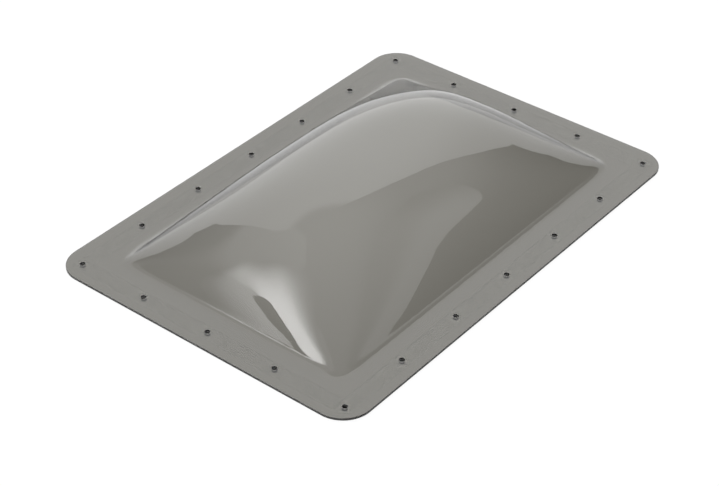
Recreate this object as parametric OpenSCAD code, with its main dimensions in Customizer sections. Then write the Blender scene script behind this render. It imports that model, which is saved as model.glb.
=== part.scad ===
// Replacement roof skylight for a caravan or camper: one smoke-tinted sheet moulded
// into a flange and a blown bubble, on four sealing strips.
// Millimetres. +X runs along the long side and +Y across it. The origin is on the roof,
// under the middle of the bubble, and +Z points up, out of the roof.

/* [Roof opening] */
// Length of the opening in the roof that the bubble spans
opening_length = 558.8; // [480:0.1:640]
// Width of the opening in the roof that the bubble spans
opening_width = 355.6; // [300:0.1:420]

/* [Sheet] */
// Thickness of the sheet in the flange, where it isn't stretched
sheet = 3.175; // [2.4:0.005:4.8]
// Thickness of the sheet at the crown, where blowing has thinned it
crown_sheet = 2.4; // [1.8:0.1:3.6]

/* [Flange] */
// How far the flange reaches past the roof opening on every side
flange_reach = 50.8; // [48:0.1:70]
// Radius of the flange's outer corners
flange_corner_r = 38.1; // [20:0.1:50]

/* [Screw holes] */
// Diameter of each screw hole
hole_d = 6.4; // [4:0.1:9]
// Distance from the flange's edge to the hole centres
hole_inset = 25.4; // [20:0.1:30]
// Number of holes along a long side, with its two corner holes
holes_long = 7; // [3:1:11]
// Number of holes along a short side, with its two corner holes
holes_short = 5; // [3:1:9]

/* [Bubble] */
// Height of the crown above the flange's upper face
bubble_height = 101.6; // [70:0.1:130]
// How far the bubble's foot flares out past the roof opening
foot_flare = 3.5; // [2.5:0.1:12]
// Radius of the foot's corners, seen from above
foot_corner_r = 42; // [25:0.5:60]
// Height over which the foot curves up into the wall
flare_height = 4.8; // [3:0.1:12]
// How far inside the roof opening the wall would meet the flange without its flare
wall_inset = 6.1; // [1:0.1:9]
// Power of the bubble's lengthwise profile: higher is flatter on top and steeper at the ends
end_power = 3.45; // [2:0.01:5]
// Power of the bubble's crosswise profile
side_power = 2.47; // [1.8:0.01:4]
// How rounded the level curve is at the foot: near 0 is a rectangle, and 0.5 an ellipse
foot_rounding = 0.029; // [0.02:0.001:0.2]
// How rounded the level curve is at the crown
crown_rounding = 0.473; // [0.2:0.001:0.5]
// How soon the level curves turn from square to oval on the way up
rounding_fade = 1.66; // [0.5:0.01:6]
// How long the corners stay square above the foot before they turn: 1 is not at all
rounding_delay = 1.03; // [1:0.01:3]

/* [Sealing strips] */
// Width of a sealing strip
strip_width = 19.05; // [12:0.05:24]
// Thickness of a sealing strip, pressed between the flange and the roof
strip_height = 3.175; // [1.6:0.005:6]

/* [Smoothness] */
// Number of points round the bubble
around = 88; // [48:8:96]
// Number of rings up the curved foot
flare_rings = 4; // [3:1:6]
// Number of rings from the foot to the crown
wall_rings = 15; // [10:1:18]

/* [Hidden] */

flange_length = opening_length + 2 * flange_reach;
flange_width = opening_width + 2 * flange_reach;
flange_top = strip_height + sheet;

foot_length = opening_length + 2 * foot_flare;
foot_width = opening_width + 2 * foot_flare;
wall_length = opening_length - 2 * wall_inset;
wall_width = opening_width - 2 * wall_inset;

hole_line_x = flange_length / 2 - hole_inset;
hole_line_y = flange_width / 2 - hole_inset;
hole_step_x = 2 * hole_line_x / (holes_long - 1);
hole_step_y = 2 * hole_line_y / (holes_short - 1);
hole_places = concat(
    [for (i = [0 : holes_long - 1], side = [-1, 1])
        [i * hole_step_x - hole_line_x, side * hole_line_y]],
    [for (i = [1 : holes_short - 2], side = [-1, 1])
        [side * hole_line_x, i * hole_step_y - hole_line_y]]);

// The bubble's rim runs this far into the flange, so that the two are one sheet
rim_overlap = 3;
// Least width of the curved foot
least_flare = 1;
// Sets the rings about evenly apart along the sheet, from the foot to the crown
ring_spread = 2.7;
// Step for the wall's slope, as a share of its height
slope_step = 0.001;
// How strongly the points round the bubble crowd into its corners, from 0 to 1
corner_crowding = 0.5;
// How far past a face a cut runs
cut_past = 1;
// Keeps a direction along an axis from dividing by zero
tiny = 0.000001;

smoke = [0.36, 0.36, 0.35, 0.55];
clear_rubber = [0.86, 0.87, 0.85, 0.7];

// Distance from the centre to a superellipse with half-axes a and b, along a direction
function oval_reach(dir, a, b, power) =
    pow(pow(abs(cos(dir)) / a, power) + pow(abs(sin(dir)) / b, power), -1 / power);

// Distance from the centre to a rounded rectangle with half-sides a and b, along a direction
function rounded_reach(dir, a, b, r) =
    let (c = max(abs(cos(dir)), tiny),
         s = max(abs(sin(dir)), tiny),
         m = (a - r) * c + (b - r) * s)
    a * s / c <= b - r ? a / c
    : b * c / s <= a - r ? b / s
    : m + sqrt(m * m - pow(a - r, 2) - pow(b - r, 2) + r * r);

// The wall's distance from the centre line at a share of the bubble's height, 0 to under 1
function wall_reach(dir, rise) =
    let (left = 1 - rise,
         rounded = pow(1 - pow(left, rounding_fade), rounding_delay),
         rounding = foot_rounding + (crown_rounding - foot_rounding) * rounded)
    oval_reach(dir,
               wall_length / 2 * pow(left, 1 / end_power),
               wall_width / 2 * pow(left, 1 / side_power),
               1 / rounding);

// A point at a distance from the centre line and a height above the flange's upper face
function placed(dir, reach, height) =
    [reach * cos(dir), reach * sin(dir), flange_top + height];

function foot_reach(dir) = rounded_reach(dir, foot_length / 2, foot_width / 2, foot_corner_r);

// The curved foot: level with the flange at t = 0 and in line with the wall at t = 1
function flare_point(dir, t) =
    let (rise = flare_height / bubble_height,
         edge = foot_reach(dir),
         top = wall_reach(dir, rise),
         slope = (wall_reach(dir, rise + slope_step) - wall_reach(dir, rise - slope_step))
                 / (2 * slope_step),
         knee = min(top - slope * rise, edge - least_flare))
    placed(dir, pow(1 - t, 2) * edge + 2 * t * (1 - t) * knee + t * t * top,
           flare_height * t * t);

function wall_point(dir, t) =
    let (start = flare_height / bubble_height,
         rise = 1 - (1 - start) * pow(1 - t, ring_spread))
    placed(dir, wall_reach(dir, rise), bubble_height * rise);

// Directions that crowd into the corners, where the foot turns
function direction(j) =
    let (turn = 360 * j / around,
         a = turn + corner_crowding * 45 / PI * sin(4 * turn))
    atan2(opening_width * sin(a), opening_length * cos(a));

rings = flare_rings + wall_rings;

// The bubble's outer face, ring by ring from the foot up to just below the crown
outer = [for (i = [0 : rings - 1])
    [for (j = [0 : around - 1])
        i <= flare_rings
            ? flare_point(direction(j), i / flare_rings)
            : wall_point(direction(j), (i - flare_rings) / wall_rings)]];
crown = [0, 0, flange_top + bubble_height];

function unit(v) = v / norm(v);

// The outer face's normal at a ring point, from its neighbours
function face_normal(i, j) =
    i == 0 ? [0, 0, 1]
    : let (across = outer[i][(j + 1) % around] - outer[i][(j + around - 1) % around],
           above = i == rings - 1 ? crown : outer[i + 1][j])
      unit(cross(across, above - outer[i - 1][j]));

// The sheet thins evenly from the flange to the crown
function thickness(z) = sheet + (crown_sheet - sheet) * (z - flange_top) / bubble_height;

inner = [for (i = [0 : rings - 1])
    [for (j = [0 : around - 1])
        outer[i][j] - thickness(outer[i][j][2]) * face_normal(i, j)]];

// Two rim rings that lie inside the flange
function rim(height) = [for (j = [0 : around - 1])
    let (dir = direction(j), reach = foot_reach(dir) + rim_overlap)
    [reach * cos(dir), reach * sin(dir), height]];

function flat(lists) = [for (list = lists, item = list) item];

// Two triangles between each pair of neighbours on rings a and b
function band(a, b) = [for (j = [0 : around - 1])
    let (k = (j + 1) % around)
    each [[a + j, b + j, b + k], [a + j, b + k, a + k]]];

// The triangles that close a ring on a single point
function cap(a, tip) = [for (j = [0 : around - 1]) [a + j, tip, a + (j + 1) % around]];

function turned(faces) = [for (f = faces) [f[2], f[1], f[0]]];

module bubble_shell() {
    skin = concat([rim(flange_top)], outer);
    lining = concat([rim(strip_height)], inner);
    count = len(skin) * around;
    points = concat(flat(skin), [crown], flat(lining), [crown - [0, 0, crown_sheet]]);
    top_bands = flat([for (i = [0 : len(skin) - 2]) band(i * around, (i + 1) * around)]);
    low_bands = flat([for (i = [0 : len(skin) - 2])
        band(count + 1 + i * around, count + 1 + (i + 1) * around)]);
    last = (len(skin) - 1) * around;
    polyhedron(points = points, convexity = 6, faces = concat(
        top_bands,
        cap(last, count),
        turned(low_bands),
        turned(cap(count + 1 + last, 2 * count + 1)),
        turned(band(0, count + 1))));
}

module rounded_outline(length, width, r) {
    square([length - 2 * r, width], center = true);
    square([length, width - 2 * r], center = true);
    for (x = [-1, 1], y = [-1, 1])
        translate([x * (length / 2 - r), y * (width / 2 - r)]) circle(r, $fn = 96);
}

// The plate's opening ends between the bubble's foot and its rim, where no other edge lies
module flange_plate() {
    lap = rim_overlap / 2;
    translate([0, 0, strip_height]) linear_extrude(sheet) difference() {
        rounded_outline(flange_length, flange_width, flange_corner_r);
        rounded_outline(foot_length + 2 * lap, foot_width + 2 * lap, foot_corner_r + lap);
    }
}

// One screw hole at each place, through the flange and whatever lies under it
module screw_holes() {
    for (place = hole_places)
        translate([place[0], place[1], -cut_past])
            cylinder(h = flange_top + 2 * cut_past, d = hole_d, $fn = 48);
}

module dome_moulding() color(smoke) difference() {
    union() {
        flange_plate();
        bubble_shell();
    }
    screw_holes();
}

// A strip centred on a line of holes, with the flange's screw holes through it
module seal_strip(centre, length, width) color(clear_rubber) difference() {
    translate([centre[0] - length / 2, centre[1] - width / 2, 0])
        cube([length, width, strip_height]);
    screw_holes();
}

// The long strips run past the corner holes, and the short ones fit between them
module long_strip(side) {
    seal_strip([0, side * hole_line_y], 2 * hole_line_x + strip_width, strip_width);
}

module short_strip(side) {
    seal_strip([side * hole_line_x, 0], strip_width, 2 * hole_line_y - strip_width);
}

module seal_strip_front() { long_strip(-1); }
module seal_strip_rear() { long_strip(1); }
module seal_strip_left() { short_strip(-1); }
module seal_strip_right() { short_strip(1); }

dome_moulding();
seal_strip_front();
seal_strip_rear();
seal_strip_left();
seal_strip_right();
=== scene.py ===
"""A smoke-tinted roof skylight for a camper: one moulded sheet on four clear sealing strips.

Everything is in metres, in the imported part's frame: +X along the long side, +Y across it,
+Z up out of the roof, and the origin on the roof under the middle of the bubble.
"""
import logging
import math
from dataclasses import dataclass
from enum import Enum

import bmesh
import bpy
import numpy as np
from mathutils import Matrix, Vector


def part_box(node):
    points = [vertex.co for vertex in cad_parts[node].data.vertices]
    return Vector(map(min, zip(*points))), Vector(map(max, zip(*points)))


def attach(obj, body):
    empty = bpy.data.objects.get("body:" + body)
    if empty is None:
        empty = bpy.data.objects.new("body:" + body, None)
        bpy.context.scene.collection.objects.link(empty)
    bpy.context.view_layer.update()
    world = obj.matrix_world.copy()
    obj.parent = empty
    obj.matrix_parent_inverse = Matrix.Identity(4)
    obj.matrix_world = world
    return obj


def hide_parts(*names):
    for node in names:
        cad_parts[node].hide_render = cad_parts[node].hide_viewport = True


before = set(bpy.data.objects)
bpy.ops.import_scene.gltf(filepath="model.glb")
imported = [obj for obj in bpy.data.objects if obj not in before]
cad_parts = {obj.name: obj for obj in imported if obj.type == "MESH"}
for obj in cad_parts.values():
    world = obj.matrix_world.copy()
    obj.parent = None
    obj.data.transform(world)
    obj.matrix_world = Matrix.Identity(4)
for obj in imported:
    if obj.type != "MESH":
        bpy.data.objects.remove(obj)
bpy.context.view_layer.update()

log = logging.getLogger("skylight")

MM = 0.001
ROOT = "root"
WHITE = (1, 1, 1, 1)
# Length in metres over which a wave texture of scale 1 repeats
WAVE_PERIOD = math.pi / 10


class Strip(Enum):
    """The four sealing strips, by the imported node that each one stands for."""

    FRONT = "seal_strip_front"
    REAR = "seal_strip_rear"
    LEFT = "seal_strip_left"
    RIGHT = "seal_strip_right"

    @property
    def runs_lengthwise(self) -> bool:
        """Whether the strip lies under a long side."""
        return self in (Strip.FRONT, Strip.REAR)


class Slot(Enum):
    """The record's material slots."""

    SHEET = "smoke_sheet"
    SEAL = "clear_seal"


class Shader:
    """A node tree under construction, with short calls for the nodes that the finishes share."""

    def __init__(self, owner: bpy.types.Material | bpy.types.World,
                 output: str = "ShaderNodeOutputMaterial") -> None:
        """Starts a tree that has only its output node.

        Args:
            owner: The new material or world that the nodes are for.
            output: Blender's name for the output node.
        """
        self.owner = owner
        self.owner.use_nodes = True
        self.tree = self.owner.node_tree
        self.tree.nodes.clear()
        self.output = self.node(output)

    def node(self, kind: str, **settings: object) -> bpy.types.Node:
        """Adds a node.

        Args:
            kind: Blender's name for the node type.
            **settings: Node properties, or input socket values where the name matches a socket.

        Returns:
            The new node.
        """
        node = self.tree.nodes.new(kind)
        for key, value in settings.items():
            if hasattr(node, key):
                setattr(node, key, value)
            else:
                node.inputs[key.replace("_", " ").title()].default_value = value
        return node

    def link(self, source: bpy.types.NodeSocket, target: bpy.types.NodeSocket) -> None:
        """Joins an output to an input."""
        self.tree.links.new(source, target)

    def place(self) -> bpy.types.NodeSocket:
        """The point on the piece, in metres, in the part's own frame."""
        return self.node("ShaderNodeTexCoord").outputs["Object"]

    def stretched(self, source: bpy.types.NodeSocket,
                  scale: tuple[float, float, float]) -> bpy.types.NodeSocket:
        """Scales a coordinate along its axes.

        Args:
            source: The coordinate.
            scale: Its factors along X, Y and Z.

        Returns:
            The scaled coordinate.
        """
        mapping = self.node("ShaderNodeMapping")
        mapping.inputs["Scale"].default_value = scale
        self.link(source, mapping.inputs["Vector"])
        return mapping.outputs["Vector"]

    def noise(self, where: bpy.types.NodeSocket, scale: float,
              octaves: float = 2.0) -> bpy.types.NodeSocket:
        """A noise value from 0 to 1.

        Args:
            where: The coordinate that it follows.
            scale: Its features per metre.
            octaves: How many finer layers it has.

        Returns:
            The noise value.
        """
        noise = self.node("ShaderNodeTexNoise", Scale=scale, Detail=octaves)
        self.link(where, noise.inputs["Vector"])
        return noise.outputs["Fac"]

    def ranged(self, source: bpy.types.NodeSocket, start: tuple[float, float],
               end: tuple[float, float]) -> bpy.types.NodeSocket:
        """Maps a value from one range to another, smoothly and without passing its ends.

        Args:
            source: The value.
            start: The range that it comes in.
            end: The range that it goes to.

        Returns:
            The mapped value.
        """
        node = self.node("ShaderNodeMapRange", interpolation_type="SMOOTHSTEP")
        for key, value in zip(("From Min", "From Max", "To Min", "To Max"), (*start, *end)):
            node.inputs[key].default_value = value
        self.link(source, node.inputs["Value"])
        return node.outputs["Result"]

    def sum(self, operation: str, first: bpy.types.NodeSocket | float,
            second: bpy.types.NodeSocket | float) -> bpy.types.NodeSocket:
        """Works out a sum of two values.

        Args:
            operation: Blender's name for the sum.
            first: A socket or a number.
            second: A socket or a number.

        Returns:
            The result.
        """
        node = self.node("ShaderNodeMath", operation=operation)
        for socket, value in zip(node.inputs, (first, second)):
            if isinstance(value, bpy.types.NodeSocket):
                self.link(value, socket)
            else:
                socket.default_value = value
        return node.outputs["Value"]

    def bump(self, height: bpy.types.NodeSocket, depth: float,
             under: bpy.types.NodeSocket | None = None) -> bpy.types.NodeSocket:
        """Turns a height from 0 to 1 into a surface normal.

        Args:
            height: The height.
            depth: What a height of 1 is, in metres.
            under: The normal that it is laid over.

        Returns:
            The new normal.
        """
        node = self.node("ShaderNodeBump", Strength=1.0, Distance=depth)
        self.link(height, node.inputs["Height"])
        if under is not None:
            self.link(under, node.inputs["Normal"])
        return node.outputs["Normal"]


@dataclass(frozen=True)
class SmokeSheetFinish:
    """Cast sheet with a warm grey tint all through it, blown and polished, and sawn at its edges."""

    tint: tuple[float, float, float] = (0.557, 0.548, 0.5165)
    tint_density: float = 1080.0
    refraction: float = 1.585
    polish: tuple[float, float] = (0.012, 0.02)
    polish_spread: tuple[float, float] = (0.35, 0.75)
    sawn: tuple[float, float] = (0.30, 0.45)
    sawn_spread: tuple[float, float] = (0.3, 0.7)
    wear_per_metre: float = 60.0
    ripple_per_metre: float = 9.0
    ripple_octaves: float = 1.0
    ripple_depth: float = 0.16 * MM
    saw_mark_pitch: float = 1.1 * MM
    saw_mark_waver: float = 2.0
    saw_mark_octaves: float = 2.0
    saw_mark_depth: float = 0.05 * MM

    def material(self) -> bpy.types.Material:
        """Builds the node material: a clear shell round a volume that absorbs.

        Returns:
            The material.
        """
        shader = Shader(bpy.data.materials.new(Slot.SHEET.value))
        surface = shader.node("ShaderNodeBsdfPrincipled")
        surface.inputs["Base Color"].default_value = WHITE
        surface.inputs["IOR"].default_value = self.refraction
        surface.inputs["Transmission Weight"].default_value = 1
        where = shader.place()
        edge = shader.node("ShaderNodeAttribute", attribute_name=SheetMesher.EDGE_MARK).outputs["Fac"]

        wear = shader.noise(where, self.wear_per_metre)
        mixed = shader.node("ShaderNodeMix", data_type="FLOAT")
        shader.link(edge, mixed.inputs["Factor"])
        shader.link(shader.ranged(wear, self.polish_spread, self.polish), mixed.inputs["A"])
        shader.link(shader.ranged(wear, self.sawn_spread, self.sawn), mixed.inputs["B"])
        shader.link(mixed.outputs["Result"], surface.inputs["Roughness"])

        ripple = shader.noise(where, self.ripple_per_metre, self.ripple_octaves)
        rolled = shader.bump(ripple, self.ripple_depth)
        teeth = shader.node("ShaderNodeTexWave", wave_type="BANDS", bands_direction="DIAGONAL",
                            Scale=WAVE_PERIOD / self.saw_mark_pitch,
                            Distortion=self.saw_mark_waver, Detail=self.saw_mark_octaves)
        shader.link(where, teeth.inputs["Vector"])
        marks = shader.sum("MULTIPLY", teeth.outputs["Fac"], edge)
        shader.link(shader.bump(marks, self.saw_mark_depth, rolled), surface.inputs["Normal"])

        volume = shader.node("ShaderNodeVolumeAbsorption")
        volume.inputs["Color"].default_value = (*self.tint, 1)
        volume.inputs["Density"].default_value = self.tint_density
        shader.link(surface.outputs["BSDF"], shader.output.inputs["Surface"])
        shader.link(volume.outputs["Volume"], shader.output.inputs["Volume"])
        return shader.owner


@dataclass(frozen=True)
class ClearSealFinish:
    """Clear silicone strip, a little milky, with drawn lines, and drilled holes whose walls carry
    painted shade: near-black and opaque.
    """

    colour: tuple[float, float, float] = (0.98, 0.985, 0.98)
    # Painted shade: the near-black colour that the drilled hole walls get
    painted_hole_shade: tuple[float, float, float] = (0.05, 0.05, 0.048)
    refraction: float = 1.06
    haze: tuple[float, float] = (0.04, 0.10)
    haze_spread: tuple[float, float] = (0.3, 0.7)
    haze_per_metre: float = 90.0
    haze_octaves: float = 3.0
    lines_per_metre: tuple[float, float, float] = (40.0, 900.0, 900.0)
    line_depth: float = 0.008 * MM
    skin_per_metre: float = 1400.0
    skin_depth: float = 0.003 * MM

    def material(self, lengthwise: bool) -> bpy.types.Material:
        """Builds the node material.

        Args:
            lengthwise: Whether the drawn lines run along X, as they do under a long side.

        Returns:
            The material.
        """
        shader = Shader(bpy.data.materials.new(Slot.SEAL.value))
        surface = shader.node("ShaderNodeBsdfPrincipled")
        surface.inputs["IOR"].default_value = self.refraction
        cut = shader.node("ShaderNodeAttribute", attribute_name=SheetMesher.EDGE_MARK).outputs["Fac"]
        # Drilled walls take the near-black colour: painted shade for the dark inside of each screw hole
        shade = shader.node("ShaderNodeMix", data_type="RGBA")
        shader.link(cut, shade.inputs["Factor"])
        shade.inputs["A"].default_value = (*self.colour, 1)
        shade.inputs["B"].default_value = (*self.painted_hole_shade, 1)
        shader.link(shade.outputs["Result"], surface.inputs["Base Color"])
        # Drilled walls let no light through, so their painted shade stays dark
        shader.link(shader.sum("SUBTRACT", 1.0, cut), surface.inputs["Transmission Weight"])
        where = shader.place()
        cloud = shader.noise(where, self.haze_per_metre, self.haze_octaves)
        shader.link(shader.ranged(cloud, self.haze_spread, self.haze), surface.inputs["Roughness"])
        along, across, up = self.lines_per_metre
        scale = (along, across, up) if lengthwise else (across, along, up)
        lines = shader.noise(shader.stretched(where, scale), 1.0)
        drawn = shader.bump(lines, self.line_depth)
        skin = shader.noise(where, self.skin_per_metre)
        shader.link(shader.bump(skin, self.skin_depth, drawn), surface.inputs["Normal"])
        shader.link(surface.outputs["BSDF"], shader.output.inputs["Surface"])
        return shader.owner


def oval_reach(bearing: np.ndarray, half_length: np.ndarray, half_width: np.ndarray,
               power: np.ndarray) -> np.ndarray:
    """Distance from the centre to a superellipse.

    Args:
        bearing: Directions in radians.
        half_length: Its half-axis along X.
        half_width: Its half-axis along Y.
        power: Its squareness, where 2 is an ellipse.

    Returns:
        The distances in metres.
    """
    along = np.abs(np.cos(bearing)) / half_length
    across = np.abs(np.sin(bearing)) / half_width
    return (along ** power + across ** power) ** (-1 / power)


def rounded_reach(bearing: np.ndarray, half_length: float, half_width: float,
                  radius: float) -> np.ndarray:
    """Distance from the centre to a rectangle with rounded corners.

    Args:
        bearing: Directions in radians.
        half_length: Half of its size along X.
        half_width: Half of its size along Y.
        radius: The radius of its corners.

    Returns:
        The distances in metres.
    """
    tiny = 1e-9
    c = np.maximum(np.abs(np.cos(bearing)), tiny)
    s = np.maximum(np.abs(np.sin(bearing)), tiny)
    flat_x = half_length - radius
    flat_y = half_width - radius
    middle = flat_x * c + flat_y * s
    corner = middle + np.sqrt(np.maximum(middle ** 2 - flat_x ** 2 - flat_y ** 2 + radius ** 2, 0))
    meets_end = half_length * s / c <= flat_y
    meets_side = half_width * c / s <= flat_x
    return np.where(meets_end, half_length / c, np.where(meets_side, half_width / s, corner))


@dataclass(frozen=True)
class BubbleForm:
    """The blown bubble as the source describes it: a curved foot, then level curves that turn oval."""

    flange_top: float
    bubble_height: float
    sheet: float
    opening_length: float = 558.8 * MM
    opening_width: float = 355.6 * MM
    crown_sheet: float = 2.4 * MM
    foot_flare: float = 3.5 * MM
    foot_corner_r: float = 42 * MM
    flare_height: float = 4.8 * MM
    wall_inset: float = 6.1 * MM
    end_power: float = 3.45
    side_power: float = 2.47
    foot_rounding: float = 0.029
    crown_rounding: float = 0.473
    rounding_fade: float = 1.66
    rounding_delay: float = 1.03
    least_flare: float = 1 * MM
    slope_step: float = 0.001
    ring_spread: float = 2.7
    corner_crowding: float = 0.5
    around: int = 384
    flare_rings: int = 16
    wall_rings: int = 72

    @property
    def bearings(self) -> np.ndarray:
        """Directions round the bubble, crowded into the corners where the foot turns.

        Returns:
            The directions in radians.
        """
        turn = np.arange(self.around) * (2 * math.pi / self.around)
        turn = turn + self.corner_crowding / 4 * np.sin(4 * turn)
        return np.arctan2(self.opening_width * np.sin(turn), self.opening_length * np.cos(turn))

    def foot_reach(self, outside: float = 0.0) -> np.ndarray:
        """Distance from the centre to the line where the bubble leaves the flange.

        Args:
            outside: How far outside that line to measure.

        Returns:
            One distance for each bearing.
        """
        return rounded_reach(self.bearings,
                             self.opening_length / 2 + self.foot_flare + outside,
                             self.opening_width / 2 + self.foot_flare + outside,
                             self.foot_corner_r + outside)

    def wall_reach(self, rise: float) -> np.ndarray:
        """Distance from the centre to the wall.

        Args:
            rise: The share of the bubble's height, from 0 to under 1.

        Returns:
            One distance for each bearing.
        """
        left = 1 - rise
        half_length = (self.opening_length / 2 - self.wall_inset) * left ** (1 / self.end_power)
        half_width = (self.opening_width / 2 - self.wall_inset) * left ** (1 / self.side_power)
        rounded = (1 - left ** self.rounding_fade) ** self.rounding_delay
        rounding = self.foot_rounding + (self.crown_rounding - self.foot_rounding) * rounded
        return oval_reach(self.bearings, half_length, half_width, 1 / rounding)

    def ring(self, reach: np.ndarray, height: float) -> np.ndarray:
        """Sets points on the bearings.

        Args:
            reach: Their distances from the centre.
            height: Their height above the flange's upper face.

        Returns:
            The points.
        """
        bearings = self.bearings
        level = np.full_like(reach, self.flange_top + height)
        return np.stack([reach * np.cos(bearings), reach * np.sin(bearings), level], axis=1)

    def skin(self) -> np.ndarray:
        """The outer face, ring by ring from the foot to just below the crown.

        Returns:
            The rings' points.
        """
        start = self.flare_height / self.bubble_height
        edge = self.foot_reach()
        top = self.wall_reach(start)
        slope = (self.wall_reach(start + self.slope_step)
                 - self.wall_reach(start - self.slope_step)) / (2 * self.slope_step)
        knee = np.minimum(top - slope * start, edge - self.least_flare)
        rings = []
        for t in np.linspace(0, 1, self.flare_rings + 1):
            reach = (1 - t) ** 2 * edge + 2 * t * (1 - t) * knee + t * t * top
            rings.append(self.ring(reach, self.flare_height * t * t))
        for t in np.linspace(0, 1, self.wall_rings + 1)[1:-1]:
            rise = 1 - (1 - start) * (1 - t) ** self.ring_spread
            rings.append(self.ring(self.wall_reach(rise), self.bubble_height * rise))
        return np.array(rings)

    @property
    def crown(self) -> np.ndarray:
        """The highest point of the outer face."""
        return np.array([0, 0, self.flange_top + self.bubble_height])

    def thickness(self, level: np.ndarray) -> np.ndarray:
        """The sheet's thickness, which blowing has thinned evenly towards the crown."""
        share = (level - self.flange_top) / self.bubble_height
        return self.sheet + (self.crown_sheet - self.sheet) * share

    def lining(self, skin: np.ndarray) -> np.ndarray:
        """The inner face: the outer one, set in by the thickness along its normals.

        Args:
            skin: The outer face's rings.

        Returns:
            Rings with the same points.
        """
        across = np.roll(skin, -1, axis=1) - np.roll(skin, 1, axis=1)
        crown_ring = np.broadcast_to(self.crown, skin[:1].shape)
        above = np.concatenate([skin[1:], crown_ring])
        below = np.concatenate([skin[:1], skin[:-1]])
        normals = np.cross(across, above - below)
        normals /= np.linalg.norm(normals, axis=2, keepdims=True)
        normals[0] = (0, 0, 1)
        return skin - self.thickness(skin[..., 2])[..., None] * normals


class SheetMesher:
    """Builds one closed mesh out of rings of points, and marks the faces that a saw or drill cut."""

    EDGE_MARK = "cut_edge"

    def __init__(self) -> None:
        """Starts an empty mesh."""
        self.mesh = bmesh.new()
        self.mark = self.mesh.faces.layers.float.new(self.EDGE_MARK)

    def ring(self, points: np.ndarray) -> list[bmesh.types.BMVert]:
        """Adds a ring of points.

        Args:
            points: Their places, in order.

        Returns:
            Their vertices.
        """
        return [self.mesh.verts.new(point) for point in points]

    def bridge(self, first: list[bmesh.types.BMVert], second: list[bmesh.types.BMVert],
               cut: bool = False) -> None:
        """Joins two rings of as many points with a band of faces.

        Args:
            first: One ring.
            second: The other.
            cut: Whether the band is a sawn or drilled edge.
        """
        for j, (a, b) in enumerate(zip(first, second)):
            k = (j + 1) % len(first)
            face = self.mesh.faces.new((a, first[k], second[k], b))
            face[self.mark] = float(cut)

    def stack(self, rings: list[np.ndarray], cut: bool = False) -> list[list[bmesh.types.BMVert]]:
        """Adds rings and joins each to the next.

        Args:
            rings: The rings' points.
            cut: Whether the bands are sawn or drilled edges.

        Returns:
            The rings' vertices.
        """
        made = [self.ring(points) for points in rings]
        for first, second in zip(made, made[1:]):
            self.bridge(first, second, cut)
        return made

    def close(self, ring: list[bmesh.types.BMVert], tip: np.ndarray) -> None:
        """Closes a ring with triangles to one point.

        Args:
            ring: The ring.
            tip: Where the point is.
        """
        top = self.mesh.verts.new(tip)
        for j, vertex in enumerate(ring):
            self.mesh.faces.new((vertex, ring[(j + 1) % len(ring)], top))

    def fill(self, *loops: list[bmesh.types.BMVert]) -> None:
        """Fills the flat face between an outer loop and the loops inside it.

        Args:
            *loops: The outer loop, then the others.
        """
        edges = []
        for loop in loops:
            for j, vertex in enumerate(loop):
                ends = (vertex, loop[(j + 1) % len(loop)])
                edges.append(self.mesh.edges.get(ends) or self.mesh.edges.new(ends))
        bmesh.ops.triangle_fill(self.mesh, use_beauty=True, use_dissolve=False, edges=edges)

    def finish(self, name: str, sharp_from: float = 30.0) -> bpy.types.Object:
        """Turns the mesh into a smooth-shaded object with crisp edges.

        Args:
            name: The piece's name.
            sharp_from: The angle in degrees from which an edge is crisp.

        Returns:
            The new object.
        """
        bmesh.ops.recalc_face_normals(self.mesh, faces=self.mesh.faces)
        open_edges = sum(not edge.is_manifold for edge in self.mesh.edges)
        if open_edges:
            raise ValueError(f"{name} has {open_edges} open edges")
        for face in self.mesh.faces:
            face.smooth = True
        data = bpy.data.meshes.new(name)
        self.mesh.to_mesh(data)
        self.mesh.free()
        data.set_sharp_from_angle(angle=math.radians(sharp_from))
        piece = bpy.data.objects.new(name, data)
        bpy.context.scene.collection.objects.link(piece)
        return piece


def outline(half_x: float, half_y: float, radius: float, corner_steps: int,
            centre: tuple[float, float], level: float) -> np.ndarray:
    """Points round a rectangle with rounded corners.

    Args:
        half_x: Half of its size along X.
        half_y: Half of its size along Y.
        radius: The radius of its corners.
        corner_steps: Steps round each corner.
        centre: Where its middle is.
        level: Its height.

    Returns:
        The points, in order.
    """
    points = []
    for corner in range(4):
        sign_x, sign_y = ((1, 1), (-1, 1), (-1, -1), (1, -1))[corner]
        for step in range(corner_steps + 1):
            turn = (corner + step / corner_steps) * math.pi / 2
            points.append((centre[0] + sign_x * (half_x - radius) + radius * math.cos(turn),
                           centre[1] + sign_y * (half_y - radius) + radius * math.sin(turn),
                           level))
    return np.array(points)


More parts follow.
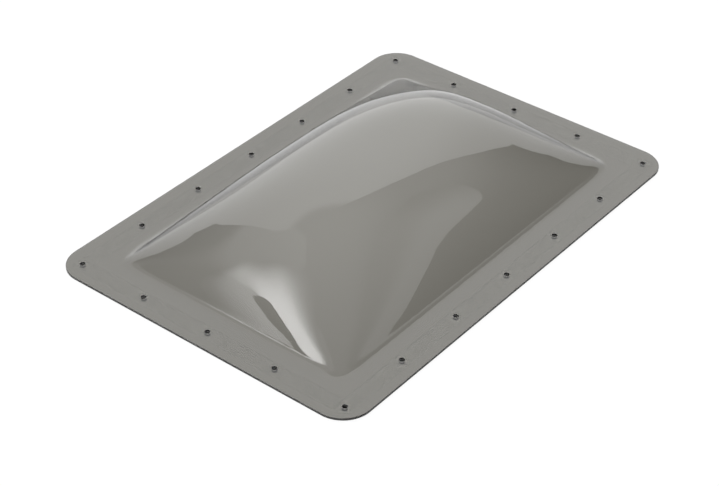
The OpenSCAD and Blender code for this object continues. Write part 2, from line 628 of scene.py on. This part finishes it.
@dataclass(frozen=True)
class ScrewHoles:
    """The screw holes' places, evenly round the flange, and how each is drilled."""

    half_x: float
    half_y: float
    along: int = 7
    across: int = 5
    diameter: float = 6.4 * MM
    deburr: float = 0.2 * MM
    steps: int = 40

    @property
    def centres(self) -> list[tuple[float, float]]:
        """The places of all the holes.

        Returns:
            Their X and Y.
        """
        xs = np.linspace(-self.half_x, self.half_x, self.along)
        ys = np.linspace(-self.half_y, self.half_y, self.across)[1:-1]
        places = [(x, side * self.half_y) for x in xs for side in (-1, 1)]
        places += [(side * self.half_x, y) for y in ys for side in (-1, 1)]
        return places

    def drill(self, mesher: SheetMesher, centre: tuple[float, float], low: float,
              high: float) -> tuple[list[bmesh.types.BMVert], list[bmesh.types.BMVert]]:
        """Adds one hole's wall with its deburred ends.

        Args:
            mesher: The mesh that it goes into.
            centre: Where the hole is.
            low: The height of the lower face.
            high: The height of the upper face.

        Returns:
            The hole's loops in the upper and the lower face.
        """
        turn = np.arange(self.steps) * (2 * math.pi / self.steps)
        circle = np.stack([np.cos(turn), np.sin(turn), np.zeros(self.steps)], axis=1)
        levels = ((self.deburr, high), (0, high - self.deburr), (0, low + self.deburr),
                  (self.deburr, low))
        rings = [np.array([*centre, level]) + circle * (self.diameter / 2 + wider)
                 for wider, level in levels]
        made = mesher.stack(rings, cut=True)
        return made[0], made[-1]


@dataclass
class DomeMoulding:
    """The one moulded sheet: a flat flange with screw holes, and the bubble blown out of it."""

    finish: SmokeSheetFinish
    node: str = "dome_moulding"
    name: str = "smoke_sheet_moulding"
    sheet: float = 3.175 * MM
    flange_corner_r: float = 38.1 * MM
    hole_inset: float = 25.4 * MM
    edge_break: float = 0.4 * MM
    corner_steps: int = 40
    foot_apron: float = 2 * MM

    def __post_init__(self) -> None:
        """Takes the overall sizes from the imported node."""
        low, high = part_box(self.node)
        self.half_length = high.x
        self.half_width = high.y
        self.underside = low.z
        top = self.underside + self.sheet
        self.form = BubbleForm(flange_top=top, bubble_height=high.z - top, sheet=self.sheet)
        self.holes = ScrewHoles(self.half_length - self.hole_inset, self.half_width - self.hole_inset)

    def rim_outline(self, inset: float, level: float) -> np.ndarray:
        """The flange's outline, set in by a distance, at a height."""
        return outline(self.half_length - inset, self.half_width - inset,
                       self.flange_corner_r - inset, self.corner_steps, (0, 0), level)

    def build(self) -> bpy.types.Object:
        """Builds the closed mesh.

        Returns:
            The piece.
        """
        mesher = SheetMesher()
        top = self.form.flange_top
        low = self.underside
        skin = self.form.skin()
        lining = self.form.lining(skin)
        apron = self.form.ring(self.form.foot_reach(self.foot_apron), 0)
        upper = mesher.stack([apron, *skin])
        mesher.close(upper[-1], self.form.crown)
        lower = mesher.stack([apron - np.array([0, 0, self.sheet]), *lining])
        mesher.close(lower[-1], self.form.crown - np.array([0, 0, self.form.crown_sheet]))

        broken = self.edge_break
        rim = mesher.stack([self.rim_outline(inset, level) for inset, level in
                            ((broken, top), (0, top - broken), (0, low + broken), (broken, low))],
                           cut=True)
        drilled = [self.holes.drill(mesher, centre, low, top) for centre in self.holes.centres]
        mesher.fill(rim[0], upper[0], *(loops[0] for loops in drilled))
        mesher.fill(rim[-1], lower[0], *(loops[1] for loops in drilled))
        return mesher.finish(self.name)

    def dress(self) -> bpy.types.Object:
        """Builds the piece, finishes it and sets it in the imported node's place.

        Returns:
            The piece.
        """
        piece = self.build()
        piece.data.materials.append(self.finish.material())
        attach(piece, ROOT)
        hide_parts(self.node)
        return piece


@dataclass
class SealStrip:
    """A strip of clear silicone between the flange and the roof, pressed a little out at its sides."""

    strip: Strip
    finish: ClearSealFinish
    holes: ScrewHoles
    squeeze: float = 0.35 * MM
    corner_r: float = 0.525 * MM
    contact_gap: float = 0.05 * MM
    side_rings: int = 8
    corner_steps: int = 6

    @property
    def name(self) -> str:
        """The piece's name."""
        return self.strip.value.replace("seal_strip", "clear_seal")

    def outlines(self, low: Vector, high: Vector) -> list[np.ndarray]:
        """The strip's outlines from its upper face to its lower one.

        Args:
            low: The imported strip's lowest corner.
            high: Its highest corner.

        Returns:
            The outlines' points.
        """
        centre = ((low.x + high.x) / 2, (low.y + high.y) / 2)
        bottom = low.z + self.contact_gap
        height = high.z - low.z - 2 * self.contact_gap
        rings = []
        for share in np.linspace(1, 0, self.side_rings + 1):
            inset = self.squeeze * (1 - math.sqrt(max(1 - (2 * share - 1) ** 2, 0)))
            rings.append(outline((high.x - low.x) / 2 - inset, (high.y - low.y) / 2 - inset,
                                 self.corner_r, self.corner_steps, centre,
                                 bottom + share * height))
        return rings

    def build(self) -> bpy.types.Object:
        """Builds the closed mesh.

        Returns:
            The piece.
        """
        low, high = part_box(self.strip.value)
        mesher = SheetMesher()
        sides = mesher.stack(self.outlines(low, high))
        inside = [(x, y) for x, y in self.holes.centres
                  if low.x < x < high.x and low.y < y < high.y]
        drilled = [self.holes.drill(mesher, centre, low.z + self.contact_gap, high.z - self.contact_gap)
                   for centre in inside]
        mesher.fill(sides[0], *(loops[0] for loops in drilled))
        mesher.fill(sides[-1], *(loops[1] for loops in drilled))
        return mesher.finish(self.name)

    def dress(self) -> bpy.types.Object:
        """Builds the piece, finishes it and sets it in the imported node's place.

        Returns:
            The piece.
        """
        piece = self.build()
        piece.data.materials.append(self.finish.material(self.strip.runs_lengthwise))
        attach(piece, ROOT)
        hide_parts(self.strip.value)
        return piece


def direction(bearing: float, elevation: float) -> Vector:
    """A unit vector.

    Args:
        bearing: Degrees from +X towards +Y.
        elevation: Degrees up from the floor.

    Returns:
        The direction.
    """
    flat = math.cos(math.radians(elevation))
    return Vector((flat * math.cos(math.radians(bearing)),
                   flat * math.sin(math.radians(bearing)),
                   math.sin(math.radians(elevation))))


@dataclass(frozen=True)
class Fade:
    """A soft fall-off over a panel, from its full level down to a share of it."""

    bearing: float
    elevation: float
    full: float
    faded: float
    share: float

    def factor(self, shader: Shader, ray: bpy.types.NodeSocket) -> bpy.types.NodeSocket:
        """Works out the share of the level at a point.

        Args:
            shader: The shader that the nodes go into.
            ray: The unit vector from the skylight to the point.

        Returns:
            1 up to the full angle past the middle plane, and the share from the faded one on.
        """
        dot = shader.node("ShaderNodeVectorMath", operation="DOT_PRODUCT")
        shader.link(ray, dot.inputs[0])
        dot.inputs[1].default_value = direction(self.bearing, self.elevation)
        angles = (math.sin(math.radians(self.full)), math.sin(math.radians(self.faded)))
        return shader.ranged(dot.outputs["Value"], angles, (1, self.share))


@dataclass(frozen=True)
class LightPanel:
    """A flat lit panel of the studio, given by the directions of its corners from the skylight."""

    name: str
    level: float
    corners: tuple[tuple[float, float], ...]
    fades: tuple[Fade, ...]
    distance: float = 30.0

    def material(self) -> bpy.types.Material:
        """Builds a glow with the panel's fades.

        Returns:
            The material.
        """
        shader = Shader(bpy.data.materials.new(self.name))
        ray = shader.node("ShaderNodeVectorMath", operation="NORMALIZE")
        shader.link(shader.place(), ray.inputs[0])
        level = self.level
        for fade in self.fades:
            level = shader.sum("MULTIPLY", fade.factor(shader, ray.outputs["Vector"]), level)
        glow = shader.node("ShaderNodeEmission")
        shader.link(level, glow.inputs["Strength"])
        shader.link(glow.outputs["Emission"], shader.output.inputs["Surface"])
        return shader.owner

    def build(self) -> None:
        """Builds the panel so that only reflections and soft light show it."""
        rays = [direction(*corner) for corner in self.corners]
        facing = sum(rays, Vector()).normalized()
        data = bpy.data.meshes.new(self.name)
        data.from_pydata([ray * (self.distance / ray.dot(facing)) for ray in rays], [],
                         [tuple(range(len(rays)))])
        panel = bpy.data.objects.new(self.name, data)
        bpy.context.scene.collection.objects.link(panel)
        data.materials.append(self.material())
        panel.visible_camera = False
        panel.visible_transmission = False
        panel.visible_shadow = False


# Edges that neighbouring panels share, as bearings and elevations in degrees
REAR_LEFT_EDGE = ((84, 0), (84, 16), (76.4, 20.2), (78, 22.1), (80.5, 25), (83.3, 28.7),
                  (86.4, 33), (89.6, 37.8), (93.6, 43.8), (97.6, 49.6), (102, 56))
KEY_LEFT_EDGE = ((150, 77), (144, 72), (138, 66), (132, 60), (128.5, 54), (128, 48), (130, 43),
                 (132, 40), (134.5, 36.5))
KEY_LOWER_EDGE = ((139.6, 36.2), (140.3, 37.6), (141.6, 38.3), (143.4, 37.6), (144.9, 35.8),
                  (145.9, 33), (146.4, 29.8), (147.5, 26))
LIP_LEFT_EDGE = ((134.5, 36.5), (136.5, 34), (138.6, 31.2), (140.4, 28.6), (141.8, 26.6),
                 (143.4, 24.4), (145, 20))
LIP_RIGHT_EDGE = ((147.5, 26), (145.4, 28.4), (144, 29.5), (142.5, 31.2), (140.9, 33.1),
                  (139.9, 34.4), (139.6, 36.2))


@dataclass(frozen=True)
class Studio:
    """A pale floor, a white surround, and the lit panels that the gloss shows."""

    panels: tuple[LightPanel, ...] = (
        LightPanel("rear_panel", 1.62,
                   (*REAR_LEFT_EDGE, (90, 69), (45, 74), (15, 65), (4, 54), (0, 50), (-5, 44.5),
                    (-7.5, 40), (-8.6, 35), (-7.6, 30.5), (-5.2, 26.5), (-3, 23.7), (-1.2, 22),
                    (-0.3, 21.1), (-12, 19.6), (-12, 0)),
                   (Fade(-52, 0, 10, 45, 0.72), Fade(45, 90, 62, 71, 0.45))),
        LightPanel("key_panel", 7.4,
                   (*KEY_LOWER_EDGE, (150, 20), (158, 20), (180, 50), (185, 84), *KEY_LEFT_EDGE),
                   (Fade(38.8, 6.4, -6.5, 5.5, 0.12), Fade(237, 0, 0, 9.5, 0.42),
                    Fade(147, 90, 52, 84, 0.3), Fade(78.8, -37.3, -4.5, 0, 0.18))),
        LightPanel("lip_panel", 2.6,
                   (*LIP_LEFT_EDGE, (150, 20), *LIP_RIGHT_EDGE),
                   (Fade(68.3, -25.3, -0.4, 2.0, 0.22),)),
        LightPanel("leaf_panel", 1.05,
                   (*REAR_LEFT_EDGE, (90, 69), (97, 81), (150, 81), *KEY_LEFT_EDGE, *LIP_LEFT_EDGE,
                    (150, 20), (150, 0)),
                   (Fade(117, -52.5, -5, 1.5, 0.38),)),
        LightPanel("right_panel", 1.0,
                   ((-25, 40), (-20, 50), (-60, 60), (-66, 12), (-53, 14), (-50.5, 18), (-48, 23.5),
                    (-45, 26.8), (-41, 27.6), (-37, 28.5), (-33, 31), (-29, 35)),
                   (Fade(-40, 90, 34, 52, 0.5), Fade(50, 0, 0, 12, 0.3))),
    )
    floor_radius: float = 40.0
    floor_sides: int = 96
    floor_gap: float = 0.3 * MM
    floor_glow: float = 0.95
    floor_shade: tuple[float, float, float] = (0.08, 0.08, 0.08)
    floor_colour: tuple[float, float, float] = (0.8, 0.8, 0.8)
    fill_level: float = 0.6
    wall_level: float = 0.3
    wall_rise: tuple[float, float] = (0.42, 0.67)
    ceiling_level: float = 0.72
    ceiling_rise: tuple[float, float] = (0.77, 0.966)

    @staticmethod
    def seen_directly(shader: Shader, *kinds: str) -> bpy.types.NodeSocket:
        """Tells one kind of ray from another.

        Args:
            shader: The shader that the nodes go into.
            *kinds: The Light Path outputs that count.

        Returns:
            1 for those rays, and 0 for the rest.
        """
        path = shader.node("ShaderNodeLightPath")
        result = path.outputs[kinds[0]]
        for kind in kinds[1:]:
            result = shader.sum("MAXIMUM", result, path.outputs[kind])
        return result

    def build_floor(self) -> None:
        """Lays the pale floor, which glows white where it is seen and keeps a faint shadow."""
        mesher = bmesh.new()
        bmesh.ops.create_circle(mesher, cap_ends=True, segments=self.floor_sides,
                                radius=self.floor_radius,
                                matrix=Matrix.Translation((0, 0, -self.floor_gap)))
        data = bpy.data.meshes.new("pale_floor")
        mesher.to_mesh(data)
        mesher.free()
        floor = bpy.data.objects.new("pale_floor", data)
        bpy.context.scene.collection.objects.link(floor)
        shader = Shader(bpy.data.materials.new("pale_floor"))
        plain = shader.node("ShaderNodeBsdfDiffuse")
        plain.inputs["Color"].default_value = (*self.floor_colour, 1)
        shaded = shader.node("ShaderNodeBsdfDiffuse")
        shaded.inputs["Color"].default_value = (*self.floor_shade, 1)
        glow = shader.node("ShaderNodeEmission", Strength=self.floor_glow)
        white = shader.node("ShaderNodeAddShader")
        shader.link(shaded.outputs["BSDF"], white.inputs[0])
        shader.link(glow.outputs["Emission"], white.inputs[1])
        mixed = shader.node("ShaderNodeMixShader")
        seen = self.seen_directly(shader, "Is Camera Ray", "Is Glossy Ray", "Is Transmission Ray")
        shader.link(seen, mixed.inputs["Fac"])
        shader.link(plain.outputs["BSDF"], mixed.inputs[1])
        shader.link(white.outputs["Shader"], mixed.inputs[2])
        shader.link(mixed.outputs["Shader"], shader.output.inputs["Surface"])
        data.materials.append(shader.owner)

    def build_world(self) -> None:
        """Sets the surround: white to the eye, a dim room to the gloss, and a soft fill for light."""
        world = bpy.data.worlds.new("studio")
        bpy.context.scene.world = world
        shader = Shader(world, "ShaderNodeOutputWorld")
        parts = shader.node("ShaderNodeSeparateXYZ")
        shader.link(shader.node("ShaderNodeTexCoord").outputs["Generated"], parts.inputs["Vector"])
        walls = shader.ranged(parts.outputs["Z"], self.wall_rise, (0, self.wall_level))
        ceiling = shader.ranged(parts.outputs["Z"], self.ceiling_rise,
                                (0, self.ceiling_level - self.wall_level))
        room = shader.sum("ADD", walls, ceiling)
        dim = shader.node("ShaderNodeBackground")
        shader.link(room, dim.inputs["Strength"])
        fill = shader.node("ShaderNodeBackground", Strength=self.fill_level)
        white = shader.node("ShaderNodeBackground")
        for background in (dim, fill, white):
            background.inputs["Color"].default_value = WHITE
        glossy = shader.node("ShaderNodeMixShader")
        shader.link(self.seen_directly(shader, "Is Glossy Ray"), glossy.inputs["Fac"])
        shader.link(fill.outputs["Background"], glossy.inputs[1])
        shader.link(dim.outputs["Background"], glossy.inputs[2])
        seen = shader.node("ShaderNodeMixShader")
        shader.link(self.seen_directly(shader, "Is Camera Ray", "Is Transmission Ray"),
                    seen.inputs["Fac"])
        shader.link(glossy.outputs["Shader"], seen.inputs[1])
        shader.link(white.outputs["Background"], seen.inputs[2])
        shader.link(seen.outputs["Shader"], shader.output.inputs["Surface"])

    def build(self) -> None:
        """Builds the floor, the surround and every panel."""
        self.build_floor()
        self.build_world()
        for panel in self.panels:
            panel.build()
            log.info("lit %s at level %.2f", panel.name, panel.level)


@dataclass(frozen=True)
class SkylightCamera:
    """The camera at the photograph's viewing angle."""

    place: tuple[float, float, float] = (-1.48752, -1.17170, 1.36309)
    target: tuple[float, float, float] = (-0.06225, -0.02802, 0.00635)
    roll: float = 0.2847
    lens: float = 93.48
    sensor: float = 36.0

    def build(self) -> None:
        """Sets up the camera."""
        data = bpy.data.cameras.new("camera")
        data.lens = self.lens
        data.sensor_width = self.sensor
        camera = bpy.data.objects.new("camera", data)
        bpy.context.scene.collection.objects.link(camera)
        looking = (Vector(self.target) - Vector(self.place)).to_track_quat("-Z", "Y")
        turned = looking.to_matrix().to_4x4() @ Matrix.Rotation(math.radians(self.roll), 4, "Z")
        camera.matrix_world = Matrix.Translation(self.place) @ turned
        bpy.context.scene.camera = camera


def main() -> None:
    """Builds the studio and the skylight, piece by piece, and logs each piece's face count."""
    logging.basicConfig(level=logging.INFO, format="%(name)s: %(message)s")
    bpy.context.scene.view_settings.view_transform = "Standard"
    SkylightCamera().build()
    Studio().build()
    moulding = DomeMoulding(SmokeSheetFinish())
    pieces = [moulding.dress()]
    pieces += [SealStrip(strip, ClearSealFinish(), moulding.holes).dress() for strip in Strip]
    for piece in pieces:
        log.info("built %s with %d faces", piece.name, len(piece.data.polygons))


if __name__ == "__main__":
    main()
